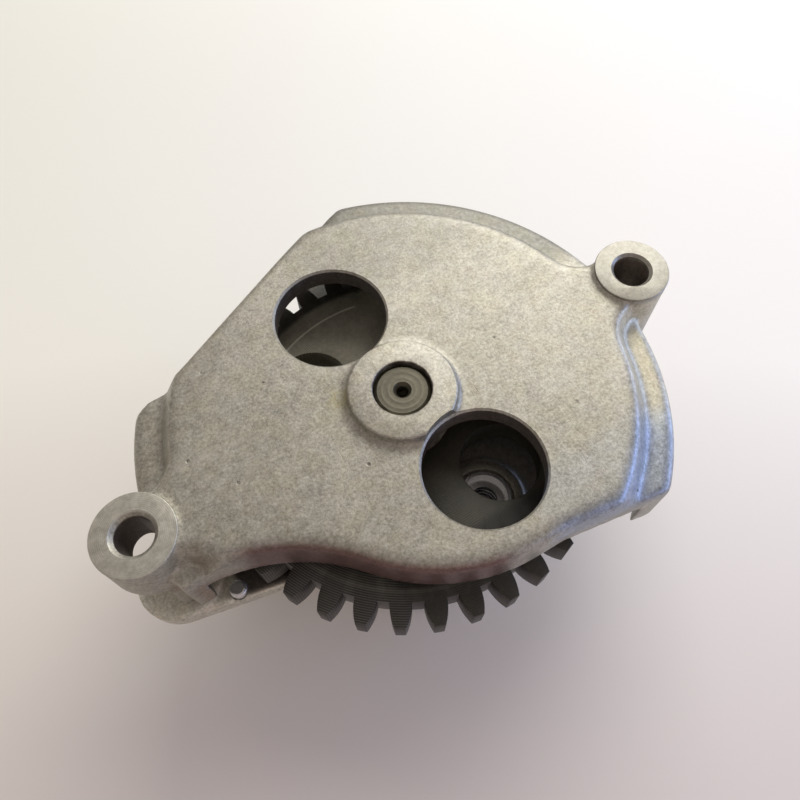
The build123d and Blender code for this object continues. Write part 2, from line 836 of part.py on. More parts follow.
def make_locating_pin():
    """Round-headed pin standing on the left arm beside the leg."""
    top = deck_top + locating_pin_rise
    pin = post(locating_pin_radius, deck_top - locating_pin_depth, top, locating_pin_place)
    return fillet(pin.edges().sort_by(Axis.Z)[-1], locating_pin_round)


body_dowels = [
    post(body_dowel_radius, dowel_bottom, dowel_top, place) for place in dowel_places
]
pieces = {
    "gear_cover": make_gear_cover(),
    "pump_body": make_pump_body(),
    "rotor_cover": make_rotor_cover(),
    "rotor_cover_screws": make_rotor_cover_screws(),
    "body_dowels": Compound(children=body_dowels),
    "cover_dowel_sleeve": make_dowel_sleeve(),
    "cover_locating_pin": make_locating_pin(),
    "inlet_seal": make_seal(1),
    "outlet_seal": make_seal(-1),
    "pump_shaft": make_pump_shaft(),
    "driven_gear": make_driven_gear(),
    "gear_drive_pin": cross_pin(gear_pin_radius, gear_pin_length, gear_pin_level, 0),
    "gear_thrust_washer": make_thrust_washer(),
    "gear_circlip": slab(circlip_ring(), circlip_bottom, circlip_bottom + circlip_thickness),
    "inner_rotor": make_inner_rotor(),
    "rotor_drive_pin": cross_pin(rotor_pin_radius, rotor_pin_length, rotor_pin_level, eccentric_angle),
    "outer_rotor": make_outer_rotor(),
    "relief_plunger": make_relief_plunger(),
    "relief_spring": make_relief_spring(),
    "relief_cup": make_relief_cup(),
}
for name, solid in pieces.items():
    export_step(solid, f"parts/{name}.step")
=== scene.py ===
import json
import math

import bpy
from mathutils import Matrix, Vector

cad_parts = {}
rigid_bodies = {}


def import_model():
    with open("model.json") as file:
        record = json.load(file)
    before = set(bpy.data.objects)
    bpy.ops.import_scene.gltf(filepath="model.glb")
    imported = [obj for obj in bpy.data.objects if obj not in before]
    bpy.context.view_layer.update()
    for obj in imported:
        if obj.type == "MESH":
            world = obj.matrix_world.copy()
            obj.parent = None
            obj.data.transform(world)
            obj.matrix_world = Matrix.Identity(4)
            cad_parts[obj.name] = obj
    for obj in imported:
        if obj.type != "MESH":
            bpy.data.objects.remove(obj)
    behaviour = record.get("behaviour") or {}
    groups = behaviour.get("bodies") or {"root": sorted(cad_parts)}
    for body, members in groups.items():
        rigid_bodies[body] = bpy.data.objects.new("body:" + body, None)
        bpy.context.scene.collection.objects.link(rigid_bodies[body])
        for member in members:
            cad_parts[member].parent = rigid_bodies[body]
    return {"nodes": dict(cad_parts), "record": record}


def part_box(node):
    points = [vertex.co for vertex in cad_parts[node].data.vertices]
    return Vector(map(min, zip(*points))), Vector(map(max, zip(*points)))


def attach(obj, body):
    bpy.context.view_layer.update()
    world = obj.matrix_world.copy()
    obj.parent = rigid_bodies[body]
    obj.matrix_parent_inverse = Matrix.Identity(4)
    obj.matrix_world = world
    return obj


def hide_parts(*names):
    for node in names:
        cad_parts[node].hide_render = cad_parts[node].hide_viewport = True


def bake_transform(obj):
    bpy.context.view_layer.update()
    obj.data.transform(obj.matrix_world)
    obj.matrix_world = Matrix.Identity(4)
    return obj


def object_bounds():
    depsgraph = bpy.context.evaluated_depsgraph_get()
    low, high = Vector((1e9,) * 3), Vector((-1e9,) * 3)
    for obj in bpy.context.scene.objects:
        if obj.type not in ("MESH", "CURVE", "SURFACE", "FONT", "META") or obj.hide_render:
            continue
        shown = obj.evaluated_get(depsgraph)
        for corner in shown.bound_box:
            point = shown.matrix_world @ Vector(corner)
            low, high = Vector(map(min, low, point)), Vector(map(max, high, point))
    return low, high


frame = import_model()
cadLow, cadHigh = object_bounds()
print("frame loaded:", len(frame["nodes"]), "nodes")

mm = 0.001
mounts = {mount["name"]: mount for mount in frame["record"]["mounts"]}
boltDims = mounts["mounting_bolts"]["dims"]
boltX = boltDims["spacing_x_mm"] / 2 * mm
boltHole = boltDims["hole_r_mm"] * mm
coverLow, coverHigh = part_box("gear_cover")
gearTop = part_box("driven_gear")[1].z
bossTop = coverHigh.z
bossHeight = 2.0 * mm
plateTop = bossTop - bossHeight
rightSeat = plateTop + 1.0 * mm  # the faces under the two bolt heads
leftSeat = plateTop + 0.3 * mm
windows = [(-3.35 * mm, 19.75 * mm, 10.0 * mm), (4.65 * mm, -18.2 * mm, 10.2 * mm)]  # x, y, radius


# one socket of a material, so that shader maths reads as sums
class Wire:
    def __init__(self, finish, socket):
        self.finish = finish
        self.socket = socket

    def maths(self, operation, first, second=0.0):
        return self.finish.node("Math", {"operation": operation}, {0: first, 1: second})

    def __add__(self, other):
        return self.maths("ADD", self, other)

    def __radd__(self, other):
        return self.maths("ADD", other, self)

    def __sub__(self, other):
        return self.maths("SUBTRACT", self, other)

    def __rsub__(self, other):
        return self.maths("SUBTRACT", other, self)

    def __mul__(self, other):
        return self.maths("MULTIPLY", self, other)

    def __rmul__(self, other):
        return self.maths("MULTIPLY", other, self)

    def size(self):
        return self.maths("ABSOLUTE", self)

    def sine(self):
        return self.maths("SINE", self)


# one material, its nodes and the patterns it is made of
class Finish:
    def __init__(self, name):
        self.material = bpy.data.materials.new(name)
        self.material.use_nodes = True
        self.tree = self.material.node_tree
        self.tree.nodes.clear()
        self.place = self.node("TexCoord", out="Object")

    def node(self, kind, settings=None, sockets=None, out=0):
        made = self.tree.nodes.new("ShaderNode" + kind)
        for key, value in (settings or {}).items():
            if key == "stops":
                self.setStops(made.color_ramp, value)
            else:
                setattr(made, key, value)
        for key, value in (sockets or {}).items():
            if isinstance(value, Wire):
                self.tree.links.new(value.socket, made.inputs[key])
            else:
                made.inputs[key].default_value = value
        return Wire(self, made.outputs[out]) if len(made.outputs) else None

    def setStops(self, ramp, stops):
        while len(ramp.elements) < len(stops):
            ramp.elements.new(0.5)
        for element, (position, colour) in zip(ramp.elements, stops):
            element.position = position
            element.color = (*colour, 1.0)

    def noise(self, scale, detail=2.0, roughness=0.5, place=None):
        sockets = {"Vector": place or self.place, "Scale": scale, "Detail": detail, "Roughness": roughness}
        return self.node("TexNoise", None, sockets)

    # smooth step of a value from one edge to another
    def ease(self, value, start, end):
        sockets = {"Value": value, "From Min": start, "From Max": end}
        return self.node("MapRange", {"interpolation_type": "SMOOTHSTEP"}, sockets)

    def tint(self, share, under, colour, mode="MIX"):
        settings = {"data_type": "RGBA", "blend_type": mode, "clamp_factor": True}
        if not isinstance(colour, Wire):
            colour = (*colour, 1.0)
        return self.node("Mix", settings, {0: share, 6: under, 7: colour}, out=2)  # its colour sockets

    def ramp(self, value, stops):
        return self.node("ValToRGB", {"stops": stops}, {0: value}, out="Color")

    def axis(self, name):
        return self.node("SeparateXYZ", None, {0: self.place}, out=name)

    # distance from an upright line
    def reachFrom(self, x=0.0, y=0.0):
        flat = self.node("CombineXYZ", None, {"X": self.axis("X"), "Y": self.axis("Y")})
        return self.node("VectorMath", {"operation": "DISTANCE"}, {0: flat, 1: (x, y, 0.0)}, out="Value")

    # soft round spot in space, one inside and none outside
    def spot(self, centre, inner, outer):
        away = self.node("VectorMath", {"operation": "DISTANCE"}, {0: self.place, 1: centre}, out="Value")
        return self.ease(away, outer, inner)

    # soft-edged box, one inside and none outside, in millimetres: an edge may differ below and above
    def within(self, low, high, soft):
        share = 1.0
        for name, start, end, edge in zip("XYZ", low, high, soft):
            along = self.axis(name)
            below, above = edge if isinstance(edge, tuple) else (edge, edge)
            share = share * self.ease(along, (start - below) * mm, start * mm)
            share = share * self.ease(along, (end + above) * mm, end * mm)
        return share

    # colours multiplied into soft boxes, for films and for painted shade, painted light and painted
    # reflection
    def film(self, colour, filmAndShadeBoxes, patches):
        for low, high, soft, shade in filmAndShadeBoxes:
            colour = self.tint(self.within(low, high, soft) * patches, colour, shade, "MULTIPLY")
        return colour

    def stretched(self, scale, turn):
        sockets = {"Vector": self.place, "Scale": scale, "Rotation": (0.0, 0.0, turn)}
        return self.node("Mapping", None, sockets)

    # marks of the lathe round an upright line, wavering with a slow pattern
    def turned(self, away, pitch, slow, waver):
        return (away * (2 * math.pi / pitch) + self.noise(slow) * waver).sine()

    # tiny flat-bottomed pits, in some of the cells of a pattern
    def pits(self, scale, size, share):
        sockets = {"Vector": self.place, "Scale": scale}
        distance = self.node("TexVoronoi", None, sockets, out="Distance")
        luck = self.node("TexVoronoi", None, sockets, out="Color")
        drawn = self.node("SeparateColor", None, {0: luck}, out="Red")
        least = 1.0 - share
        return self.ease(distance, size, size * 0.4) * self.ease(drawn, least, least + 0.02)

    def bump(self, height, distance):
        return self.node("Bump", None, {"Height": height, "Distance": distance}, out="Normal")

    def surface(self, colour, roughness, **others):
        shader = self.node("BsdfPrincipled", None, {"Base Color": colour, "Roughness": roughness, **others})
        self.node("OutputMaterial", None, {"Surface": shader})
        return self.material


# raw die-cast aluminium: cloudy, speckled, pitted and stained, with painted shade, light and reflection in
# places
coverLook = {
    "dark": (0.220, 0.209, 0.174),
    "middle": (0.350, 0.336, 0.285),
    "light": (0.490, 0.474, 0.410),
    "levels": (0.37, 0.49, 0.61),  # tones that come out dark, middle and light
    "cloud": (90.0, 3.0, 0.6),  # patterns: scale, detail, roughness
    "mottle": (700.0, 5.0, 0.72),
    "speckle": (2000.0, 3.0, 0.75),
    "shares": (0.14, 0.38, 0.48),  # of cloud, mottle and speckle in the tone
    "patches": [  # faint warm and pink ones: pattern, its turn, from, to, colour
        ((210.0, 4.0, 0.7), 0.0, 0.40, 0.62, (0.98, 0.97, 0.86)),
        ((330.0, 4.0, 0.7), 1.1, 0.52, 0.66, (0.98, 0.92, 0.90)),
    ],
    "patchShare": 0.5,
    "pits": (360.0, 0.16, 0.10),  # scale, size, share of the cells
    "pit": (0.09, 0.08, 0.065),
    "scratches": ((1900.0, 75.0, 300.0), 0.9),  # stretch and turn
    "depth": 0.06 * mm,  # of the rough skin
    "roughness": 0.44,
    "metallic": 0.62,
    "stainsAndShade": [  # in millimetres: centre, inner and outer reach, then colour and strength
        ((-46.6, -7.2, 33.0), 0.6, 3.2, (0.20, 0.135, 0.075), 0.65),
        ((-41.0, -7.8, 41.0), 1.0, 4.2, (0.22, 0.165, 0.12), 0.45),
        ((-9.6, 4.6, 43.5), 0.3, 3.4, (0.36, 0.32, 0.13), 0.6),
        ((-20.6, -8.0, 43.5), 0.5, 1.9, (0.15, 0.135, 0.125), 0.55),
        ((24.3, -16.2, 43.5), 0.2, 0.55, (0.07, 0.055, 0.045), 1.0),
        # painted shade in the gap round the shaft, at the bore's mouth
        ((0.0, 0.0, 45.0), 4.9, 5.5, (0.07, 0.055, 0.04), 1.0),
    ],
    "broken": ((330.0, 3.0, 0.6), 0.35, 0.62),  # what breaks the stains and the painted shade up: pattern, from, to
    "filmAndShadeBoxes": [  # in millimetres: low and high corner of each box, its soft edges, then colour; the boxes hold a brownish film on the leg, and painted shade, light and reflection
        # painted shade with a reddish painted reflection, darker on the front wall below the plate
        ((-33.0, -60.0, 20.0), (-2.0, -8.0, 42.4), (5.0, 1.0, 1.2), (0.40, 0.25, 0.26)),
        ((-44.0, -14.0, 22.0), (-34.0, -7.5, 34.0), (2.0, 1.0, 3.0), (0.80, 0.70, 0.65)),
        # painted shade on the back slope and ledge below the plate
        ((-30.0, 15.0, 20.0), (60.0, 60.0, 42.7), (4.0, 6.0, 0.5), (0.54, 0.55, 0.55)),
        # painted light, lighter on the right ledge
        ((36.0, -24.0, 38.0), (60.0, -4.0, 42.9), (3.0, 5.0, (5.0, 0.5)), (1.18, 1.15, 1.04)),
        # painted blue reflection on the lower right slope
        ((12.0, -60.0, 40.0), (60.0, -26.0, 43.0), (6.0, 5.0, (6.0, 0.7)), (0.82, 0.97, 1.36)),
        # darker over the back of the plate's top
        ((2.0, 26.0, 43.0), (24.0, 60.0, 46.0), (10.0, 10.0, 0.5), (0.80, 0.805, 0.81)),
        # lighter over the centre boss's top
        ((-7.0, -7.0, 45.2), (7.0, 7.0, 47.0), (2.0, 2.0, 0.3), (1.12, 1.12, 1.13)),
    ],
    "bores": [  # hole walls darkened with painted shade: x, y, radius, highest level, colour
        (*windows[0], plateTop - 0.3 * mm, (0.66, 0.61, 0.66)),
        (*windows[1], plateTop - 0.3 * mm, (0.55, 0.50, 0.53)),
        (-boltX, 0.0, boltHole, plateTop - 0.6 * mm, (0.34, 0.30, 0.34)),
        (boltX, 0.0, boltHole, plateTop - 0.1 * mm, (0.7, 0.62, 0.64)),
    ],
    "boreShade": (0.2 * mm, 0.1 * mm, 0.3 * mm),  # how far it goes into the wall, its soft side and top
    "rings": [  # turned faces: x, radius, lowest level, darkest and lightest colour; one machined face in two tones, lighter at the left bolt and darker at the right, as painted light and shade
        (boltX, 7.0 * mm, plateTop + 0.5 * mm, (0.19, 0.182, 0.155), (0.34, 0.33, 0.285)),
        (-boltX, 7.0 * mm, plateTop + 0.05 * mm, (0.38, 0.37, 0.31), (0.68, 0.665, 0.57)),
    ],
    "ringEdge": 0.05 * mm,
    "ringPitch": 0.30 * mm,
}


def castAluminium(name, look):
    f = Finish(name)
    cloud = f.noise(*look["cloud"])
    mottle = f.noise(*look["mottle"])
    speckle = f.noise(*look["speckle"])
    cloudShare, mottleShare, speckleShare = look["shares"]
    tone = cloud * cloudShare + mottle * mottleShare + speckle * speckleShare
    tones = (look["dark"], look["middle"], look["light"])
    colour = f.ramp(tone, list(zip(look["levels"], tones)))
    for pattern, turn, start, end, shade in look["patches"]:
        patch = f.ease(f.noise(*pattern, f.stretched((1.0, 1.0, 1.0), turn)), start, end)
        colour = f.tint(patch * look["patchShare"], colour, shade, "MULTIPLY")
    pits = f.pits(*look["pits"]) * f.ease(mottle, 0.40, 0.52)
    roughness = 0.10 * mottle + 0.06 * speckle + (look["roughness"] - 0.08)
    height = mottle * 0.5 + speckle * 0.5
    ringEdge = look["ringEdge"]
    for x, reach, level, darkest, lightest in look["rings"]:
        away = f.reachFrom(x)
        onFace = f.ease(away, reach, reach - ringEdge) * f.ease(f.axis("Z"), level, level + ringEdge)
        marks = f.turned(away, look["ringPitch"], 130.0, 5.0) * 0.5 + 0.5
        marks = marks * (0.35 + 0.65 * f.noise(260.0, 3.0))  # fainter in places
        shade = f.ramp(marks * 0.3 + mottle * 0.8, [(0.25, darkest), (0.75, lightest)])
        colour = f.tint(onFace * 0.6, colour, shade)
        roughness = roughness - onFace * 0.10
        height = height * (1.0 - onFace * 0.7) + onFace * marks * 0.06
    # film, painted shade, painted light and painted reflection, each multiplied in its box
    colour = f.film(colour, look["filmAndShadeBoxes"], 0.75 + 0.4 * cloud)
    # painted shade darkening each hole's wall below a level
    shadeDepth, softSide, softTop = look["boreShade"]
    for x, y, radius, level, boreShade in look["bores"]:
        reach = radius + shadeDepth
        wall = f.ease(f.reachFrom(x, y), reach + softSide, reach)
        shadedWall = wall * f.ease(f.axis("Z"), level, level - softTop)
        colour = f.tint(shadedWall, colour, boreShade, "MULTIPLY")
    pattern, start, end = look["broken"]
    broken = f.ease(f.noise(*pattern), start, end)
    for centre, inner, outer, spotColour, strength in look["stainsAndShade"]:
        spread = f.spot([c * mm for c in centre], inner * mm, outer * mm)
        colour = f.tint(spread * broken * strength, colour, spotColour)
    scratches = f.ease(f.noise(1.0, 2.0, 0.5, f.stretched(*look["scratches"])), 0.70, 0.76)
    colour = f.tint(scratches * 0.35, colour, look["dark"])
    colour = f.tint(pits * 0.85, colour, look["pit"])
    normal = f.bump(height - pits * 1.2 - scratches * 0.2, look["depth"])
    return f.surface(colour, roughness, Metallic=look["metallic"], Normal=normal)


bodyLook = dict(
    coverLook,
    dark=(0.35, 0.335, 0.275),
    middle=(0.56, 0.54, 0.455),
    light=(0.74, 0.72, 0.62),
    stainsAndShade=[((-46.0, -6.0, 22.5), 1.0, 6.0, (0.16, 0.13, 0.09), 0.35)],
    filmAndShadeBoxes=[
        # painted shade on the body's deck under the cover and gear
        ((-31.0, -40.0, 22.4), (33.0, 22.0, 30.0), (1.0, 0.5, 0.5), (0.34, 0.325, 0.32)),
        # painted shade, near black, over the back of the body's top
        ((-33.0, 24.0, 20.0), (33.0, 60.0, 30.0), (0.5, 1.0, 1.0), (0.03, 0.03, 0.033)),
        # painted shade on the left arm under the cover
        ((-38.6, -30.0, 23.0), (-20.0, 10.0, 30.0), (1.4, 1.0, (0.5, 1.0)), (0.12, 0.10, 0.10)),
    ],
    bores=[],
    rings=[],
)

# dark oiled steel with turning lines, with painted shade and a painted glint: the boxes are in millimetres,
# as the cover's film and shade boxes
gearLook = {
    "dark": (0.155, 0.147, 0.112),
    "light": (0.330, 0.313, 0.242),
    "line": (0.44, 0.42, 0.33),
    "metallic": 0.35,
    "pitch": 0.40 * mm,
    "roughness": 0.46,
    "filmAndShadeBoxes": [
        # painted shade over the gear's front half
        ((-60.0, -60.0, 20.0), (60.0, -6.0, 40.0), (1.0, 8.0, 1.0), (0.17, 0.168, 0.15)),
        # painted shadow of the front wall on the gear's face
        ((-15.0, -31.0, 20.0), (60.0, -24.0, 40.0), (3.0, 2.0, 1.0), (0.40, 0.38, 0.40)),
    ],
    "teeth": (29.8 * mm, 31.2 * mm, (0.165, 0.16, 0.16)),  # hardened: from, to, colour
    # painted glint on the turning lines, over the lower-left part of the face
    "glintBox": ((-36.0, -36.0, 20.0), (-17.0, -12.0, 40.0), (3.0, 3.0, 1.0)),
    "glintLine": (0.20, 0.195, 0.18),
    "glintShare": 0.42,
    "arcBox": ((-30.0, 21.0, 20.0), (4.0, 40.0, 40.0), (1.0, 2.0, 1.0)),
    "arc": (27.25 * mm, 0.26 * mm, 0.10 * mm),  # scratched into the face: radius, half width, sharp part
    "arcLine": (0.60, 0.57, 0.46),
}


# what only the gear's face has: painted shade, hardened teeth, a painted glint on the turning lines and a
# scratched arc
def gearMarks(f, look, colour, film, lines, away):
    start, end, hardened = look["teeth"]
    teeth = f.ease(away, start, end)
    # painted shade boxes, kept off the teeth
    colour = f.film(colour, look["filmAndShadeBoxes"], (0.8 + 0.4 * film) * (1.0 - teeth))
    colour = f.tint(teeth, colour, hardened, "MULTIPLY")
    # painted glint where the turning lines are
    glint = f.within(*look["glintBox"]) * f.ease(lines, 0.2, 0.8)
    colour = f.tint(glint * look["glintShare"], colour, look["glintLine"])
    reach, wide, sharp = look["arc"]
    arc = f.ease((away - reach).size(), wide, sharp) * f.within(*look["arcBox"])
    return f.tint(arc * (0.6 + 0.6 * film), colour, look["arcLine"])


def turnedSteel(name, look):
    f = Finish(name)
    film = f.noise(95.0, 4.0, 0.6)
    grain = f.noise(1500.0, 3.0, 0.6)
    colour = f.ramp(film * 0.6 + grain * 0.4, [(0.32, look["dark"]), (0.68, look["light"])])
    away = f.reachFrom()
    lines = f.turned(away, look["pitch"], 60.0, 2.0)
    shown = f.ease(lines, 0.35, 1.0) * f.ease(f.noise(120.0, 2.0), 0.35, 0.6)
    colour = f.tint(shown * 0.5, colour, look["line"])
    if "teeth" in look:
        colour = gearMarks(f, look, colour, film, lines, away)
    roughness = 0.16 * film + 0.08 * grain + (look["roughness"] - 0.12)
    normal = f.bump(lines * 0.3 + grain * 0.4, 0.02 * mm)
    return f.surface(colour, roughness, Metallic=look["metallic"], Normal=normal)


plainSteel = {"pitch": 0.42 * mm, "roughness": 0.46, "metallic": 0.8}
shaftLook = dict(
    plainSteel,
    dark=(0.085, 0.080, 0.058),
    light=(0.155, 0.145, 0.108),
    line=(0.21, 0.20, 0.15),
    pitch=1.1 * mm,
    roughness=0.42,
)
rotorLook = dict(
    plainSteel,
    dark=(0.14, 0.135, 0.125),
    light=(0.28, 0.27, 0.25),
    line=(0.33, 0.32, 0.30),
)
brightLook = dict(
    plainSteel,
    dark=(0.50, 0.50, 0.49),
    light=(0.72, 0.72, 0.71),
    line=(0.80, 0.80, 0.79),
    roughness=0.22,
    metallic=0.75,
)
fastenerLook = dict(
    plainSteel,
    dark=(0.10, 0.10, 0.095),
    light=(0.22, 0.215, 0.20),
    line=(0.26, 0.26, 0.25),
)
sealLook = {
    "dark": (0.012, 0.012, 0.012),
    "light": (0.045, 0.043, 0.04),
    "dust": (600.0, 4.0, 0.6),
    "depth": 0.02 * mm,
}


def sealRubber(name, look):
    f = Finish(name)
    dust = f.noise(*look["dust"])
    colour = f.ramp(dust, [(0.35, look["dark"]), (0.7, look["light"])])
    return f.surface(colour, dust * 0.3 + 0.45, Normal=f.bump(dust, look["depth"]))


finishes = {
    "cover_casting": castAluminium("rawCoverCasting", coverLook),
    "body_casting": castAluminium("rawBodyCasting", bodyLook),
    "gear_steel": turnedSteel("oiledGearSteel", gearLook),
    "shaft_steel": turnedSteel("turnedShaftSteel", shaftLook),
    "rotor_steel": turnedSteel("sinteredRotorSteel", rotorLook),
    "bright_steel": turnedSteel("groundBrightSteel", brightLook),
    "fastener_steel": turnedSteel("phosphatedFastenerSteel", fastenerLook),
    "seal_rubber": sealRubber("blackSealRubber", sealLook),
}
slotOfNode = {part["node"]: part["material_slot"] for part in frame["record"]["subparts"]}
for nodeName, node in frame["nodes"].items():
    node.data.materials.clear()
    node.data.materials.append(finishes[slotOfNode[nodeName]])
print("finishes made:", len(finishes))

meshing = {
    "merge": 0.002 * mm,  # corners this close are one
    "sides": 112,  # of a round tool
    "smoothing": 0.5,  # strength of one smoothing pass
}


# copy of a CAD node as a whole mesh of its own, ready to be worked on
def workCopy(nodeName, pieceName):
    bpy.ops.object.select_all(action="DESELECT")
    node = frame["nodes"][nodeName]
    node.select_set(True)
    bpy.context.view_layer.objects.active = node
    bpy.ops.object.duplicate()
    piece = bpy.context.active_object
    bpy.ops.object.parent_clear(type="CLEAR")
    for key in list(piece.keys()):
        del piece[key]
    piece.name = pieceName
    bpy.ops.object.mode_set(mode="EDIT")
    bpy.ops.mesh.select_all(action="SELECT")
    bpy.ops.mesh.remove_doubles(threshold=meshing["merge"])
    bpy.ops.object.mode_set(mode="OBJECT")
    bpy.ops.mesh.customdata_custom_splitnormals_clear()
    return piece


def applyModifier(piece, kind, settings):
    bpy.context.view_layer.objects.active = piece
    modifier = piece.modifiers.new(kind.lower(), kind)
    for key, value in settings.items():
        setattr(modifier, key, value)
    bpy.ops.object.modifier_apply(modifier=modifier.name)


# edges rounded as cast metal's: a mesh of small squares, then smoothed
def roundCasting(piece, skin):
    applyModifier(piece, "REMESH", {"mode": "VOXEL", "voxel_size": skin["voxel"]})
    applyModifier(piece, "SMOOTH", {"factor": meshing["smoothing"], "iterations": skin["passes"]})


def settle(piece, nodeName, body, smoothAngle):
    bpy.ops.object.select_all(action="DESELECT")
    piece.select_set(True)
    bpy.context.view_layer.objects.active = piece
    bpy.ops.object.shade_smooth_by_angle(angle=math.radians(smoothAngle))
    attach(piece, body)
    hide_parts(nodeName)


# round plug, disc or cutter, drawn upwards ring by ring: the reach and level of each
def turnedTool(x, y, rings):
    (reach, level), *others = rings
    bpy.ops.object.select_all(action="DESELECT")
    bpy.ops.mesh.primitive_circle_add(
        vertices=meshing["sides"], radius=reach, fill_type="NGON", location=(x, y, level))
    tool = bpy.context.active_object
    bpy.ops.object.mode_set(mode="EDIT")
    bpy.ops.mesh.select_all(action="SELECT")
    for nextReach, nextLevel in others:
        lift = {"value": (0.0, 0.0, nextLevel - level)}
        bpy.ops.mesh.extrude_region_move(TRANSFORM_OT_translate=lift)
        spread = nextReach / reach
        bpy.ops.transform.resize(value=(spread, spread, 1.0), center_override=(x, y, nextLevel))
        reach, level = nextReach, nextLevel
    bpy.ops.mesh.select_all(action="SELECT")
    bpy.ops.mesh.normals_make_consistent(inside=False)
    bpy.ops.object.mode_set(mode="OBJECT")
    bpy.ops.object.transform_apply(location=True, rotation=False, scale=False)
    return tool


def combine(piece, tool, operation):
    applyModifier(piece, "BOOLEAN", {"operation": operation, "solver": "EXACT", "object": tool})
    bpy.data.objects.remove(tool)


def joinTool(piece, tool):
    bpy.ops.object.select_all(action="DESELECT")
    tool.select_set(True)
    piece.select_set(True)
    bpy.context.view_layer.objects.active = piece
    bpy.ops.object.join()


coverSkin = {
    "voxel": 0.45 * mm,
    "passes": 10,
    "smooth": 28,  # degrees, edges sharper than this stay crisp
    "cut": 3.0 * mm,  # how far a cutter stands above the face it opens
    "bores": [  # x, y, radius, chamfer, mouth level, lowest level of the plug, lowest level of the cut
        (boltX, 0.0, boltHole, 0.5 * mm, rightSeat, coverLow.z, coverLow.z - mm),
        (-boltX, 0.0, boltHole, 0.7 * mm, leftSeat, plateTop - 9.5 * mm, coverLow.z - mm),
        (0.0, 0.0, 5.03 * mm, 0.12 * mm, bossTop, plateTop - 8.0 * mm, gearTop),
        (*windows[0], 0.35 * mm, plateTop, plateTop - 3.9 * mm, plateTop - 9.0 * mm),
        (*windows[1], 0.35 * mm, plateTop, plateTop - 3.9 * mm, plateTop - 9.0 * mm),
    ],
    "rim": {  # rounded more widely, over each range from nothing to all
        "passes": 28,
        "fromShaft": (36.0 * mm, 38.5 * mm),
        "level": (plateTop - 8 * mm, plateTop - 6 * mm),
        "fromBolt": (7.5 * mm, 9.5 * mm),
        "x": (-8 * mm, 2 * mm),
    },
    "discs": [  # raised faces: x, radius at the foot and below the edge, top level, rounded edge
        (boltX, 6.72 * mm, 6.72 * mm, rightSeat, 0.25 * mm),
        (-boltX, 7.02 * mm, 7.02 * mm, leftSeat, 0.30 * mm),
        (0.0, 9.75 * mm, 9.3 * mm, bossTop, 0.55 * mm),
    ],
    "discRoot": [(mm, 3 * mm), (0.0, 2 * mm)],  # rings in the metal: less than the foot, below the top
    "edgeSteps": (30, 60, 90),  # degrees round a disc's edge
}
cover = workCopy("gear_cover", "coverCasting")
for x, y, bore, chamfer, mouth, plugEnd, cutEnd in coverSkin["bores"]:
    joinTool(cover, turnedTool(x, y, [(bore + 2 * chamfer, plugEnd), (bore + 2 * chamfer, mouth)]))
roundCasting(cover, coverSkin)


# how far a value has come over a range, from 0 to 1
def rise(value, low, high):
    return min(1.0, max(0.0, (value - low) / (high - low)))


# share of the wider rounding, on the sloped rim at the right and not round the bolts
def rimShare(place, rim):
    fromShaft = math.hypot(place.x, place.y)
    fromBolt = min(math.hypot(place.x - boltX, place.y), math.hypot(place.x + boltX, place.y))
    share = rise(fromShaft, *rim["fromShaft"]) * rise(place.z, *rim["level"])
    return share * rise(fromBolt, *rim["fromBolt"]) * rise(place.x, *rim["x"])


rim = coverSkin["rim"]
softRim = cover.vertex_groups.new(name="softRim")
for vertex in cover.data.vertices:
    softRim.add([vertex.index], rimShare(vertex.co, rim), "REPLACE")
applyModifier(cover, "SMOOTH", {"factor": meshing["smoothing"], "iterations": rim["passes"],
                                "vertex_group": "softRim"})
cover.vertex_groups.clear()
for x, foot, reach, top, edge in coverSkin["discs"]:
    rings = [(foot - less, top - below) for less, below in coverSkin["discRoot"]]
    rings.append((reach, top - edge))
    for angle in coverSkin["edgeSteps"]:
        step = math.radians(angle)
        rings.append((reach - edge * (1 - math.cos(step)), top - edge * (1 - math.sin(step))))
    combine(cover, turnedTool(x, 0.0, rings), "UNION")
for x, y, bore, chamfer, mouth, plugEnd, cutEnd in coverSkin["bores"]:
    wide = bore + chamfer
    rings = [(bore, cutEnd), (bore, mouth - chamfer), (wide, mouth), (wide, mouth + coverSkin["cut"])]
    combine(cover, turnedTool(x, y, rings), "DIFFERENCE")
settle(cover, "gear_cover", "housing", coverSkin["smooth"])
print("cover casting:", len(cover.data.polygons), "faces")

bodySkin = {"voxel": 0.40 * mm, "passes": 6, "smooth": 28}
for nodeName, pieceName in (("pump_body", "bodyCasting"), ("rotor_cover", "portPlate")):
    casting = workCopy(nodeName, pieceName)
    roundCasting(casting, bodySkin)
    settle(casting, nodeName, "housing", bodySkin["smooth"])
    print(pieceName + ":", len(casting.data.polygons), "faces")

gearSkin = {"bevel": 0.18 * mm, "segments": 2, "corner": 38, "smooth": 30}  # angles in degrees
gear = workCopy("driven_gear", "drivenGear")
applyModifier(gear, "BEVEL", {
    "width": gearSkin["bevel"],
    "segments": gearSkin["segments"],
    "limit_method": "ANGLE",
    "angle_limit": math.radians(gearSkin["corner"]),
    "use_clamp_overlap": True,
})
settle(gear, "driven_gear", "drive_shaft", gearSkin["smooth"])
print("gear:", len(gear.data.polygons), "faces")

